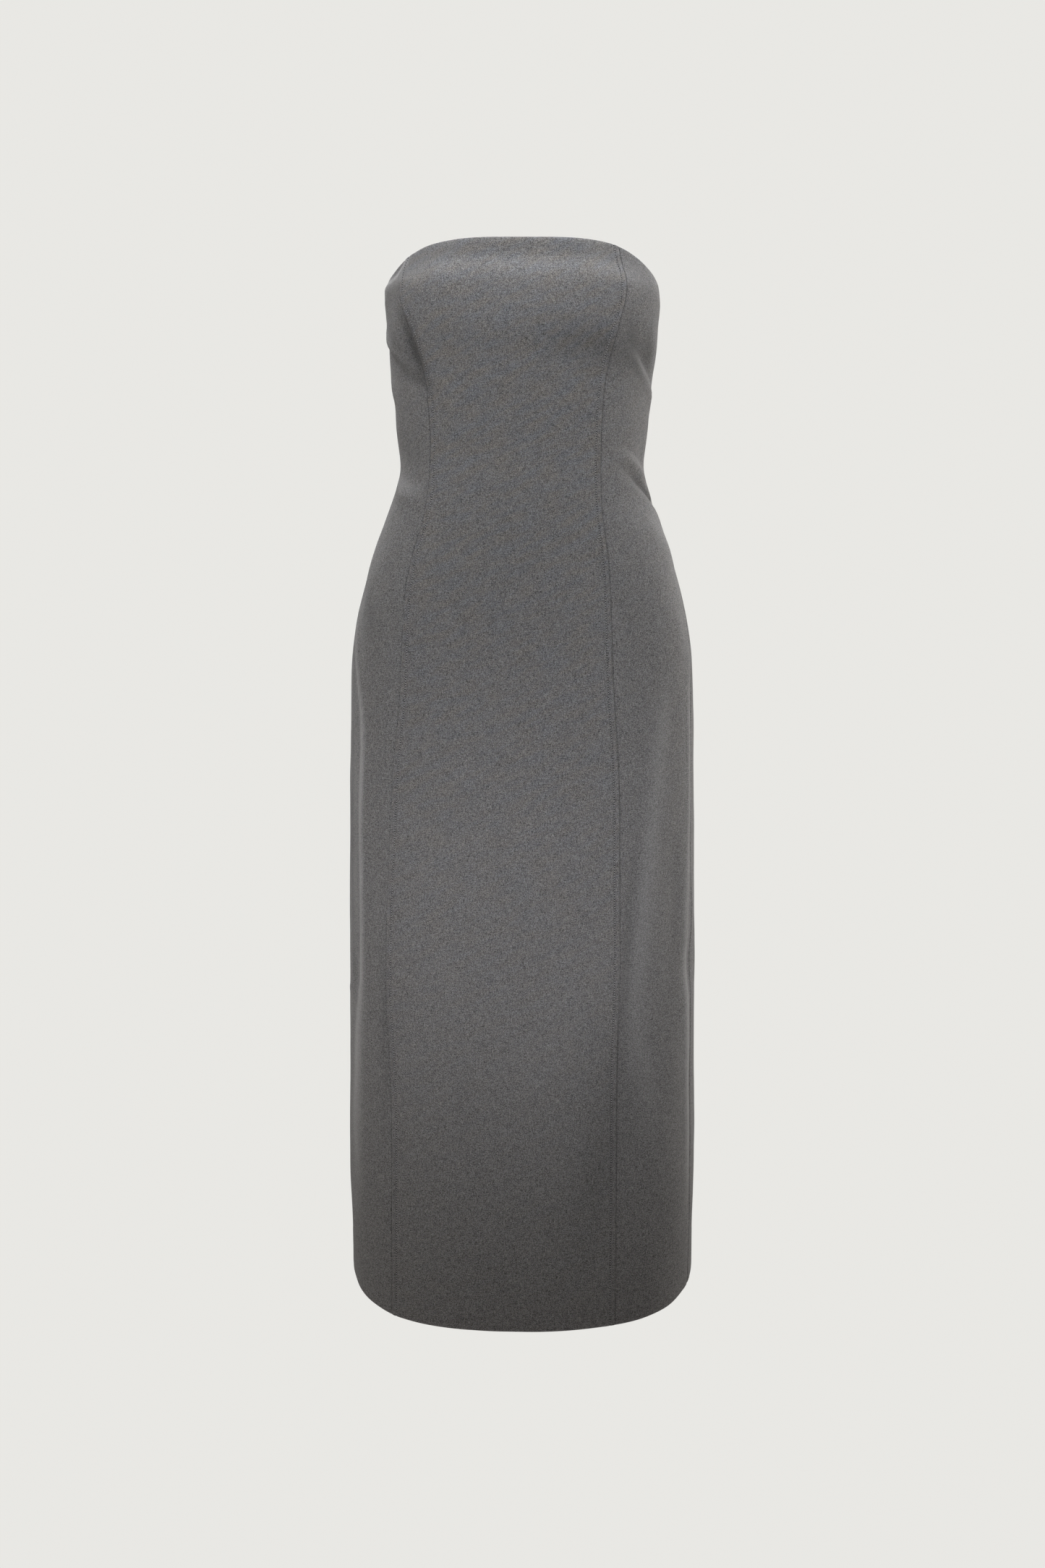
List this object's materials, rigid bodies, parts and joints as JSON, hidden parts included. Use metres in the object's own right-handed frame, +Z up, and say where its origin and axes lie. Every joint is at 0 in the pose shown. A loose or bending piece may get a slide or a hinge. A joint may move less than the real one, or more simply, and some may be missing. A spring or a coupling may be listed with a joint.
{
  "type": "strapless dress",
  "caption": "Fitted strapless midi dress in grey suiting, worn form with no wearer, open at the neck and hem, with a concealed back zip.",
  "frame": {"origin": "on the dress's upright axis, level with the top edge under the arms, where the wearer's chest holds the bodice up", "axes": "+Z up, the front faces -Y, +X is the wearer's left"},
  "size_m": [0.3598, 0.2624, 1.0747],
  "materials": {
    "suiting": "matt heathered plain weave",
    "zip_tape": "matt woven tape",
    "zip_coil": "satin",
    "zip_enamel": "satin enamel"
  },
  "bodies": {
    "dress": {"front_centre_panel": "suiting", "front_side_panel_left": "suiting", "front_side_panel_right": "suiting", "back_panel_left": "suiting", "back_panel_right": "suiting", "zip_tape_left": "zip_tape", "zip_tape_right": "zip_tape", "zip_chain": "zip_coil", "zip_bottom_stop": "zip_enamel", "zip_slider": "zip_enamel"},
    "zip_pull": {"zip_pull": "zip_enamel"}
  },
  "joints": [
    {"name": "zip_pull_swing", "type": "hinge", "parent": "dress", "child": "zip_pull", "pos_m": [0, 0.09424, -0.04117], "axis": [1, 0, 0], "range_deg": [0, 160]}
  ]
}
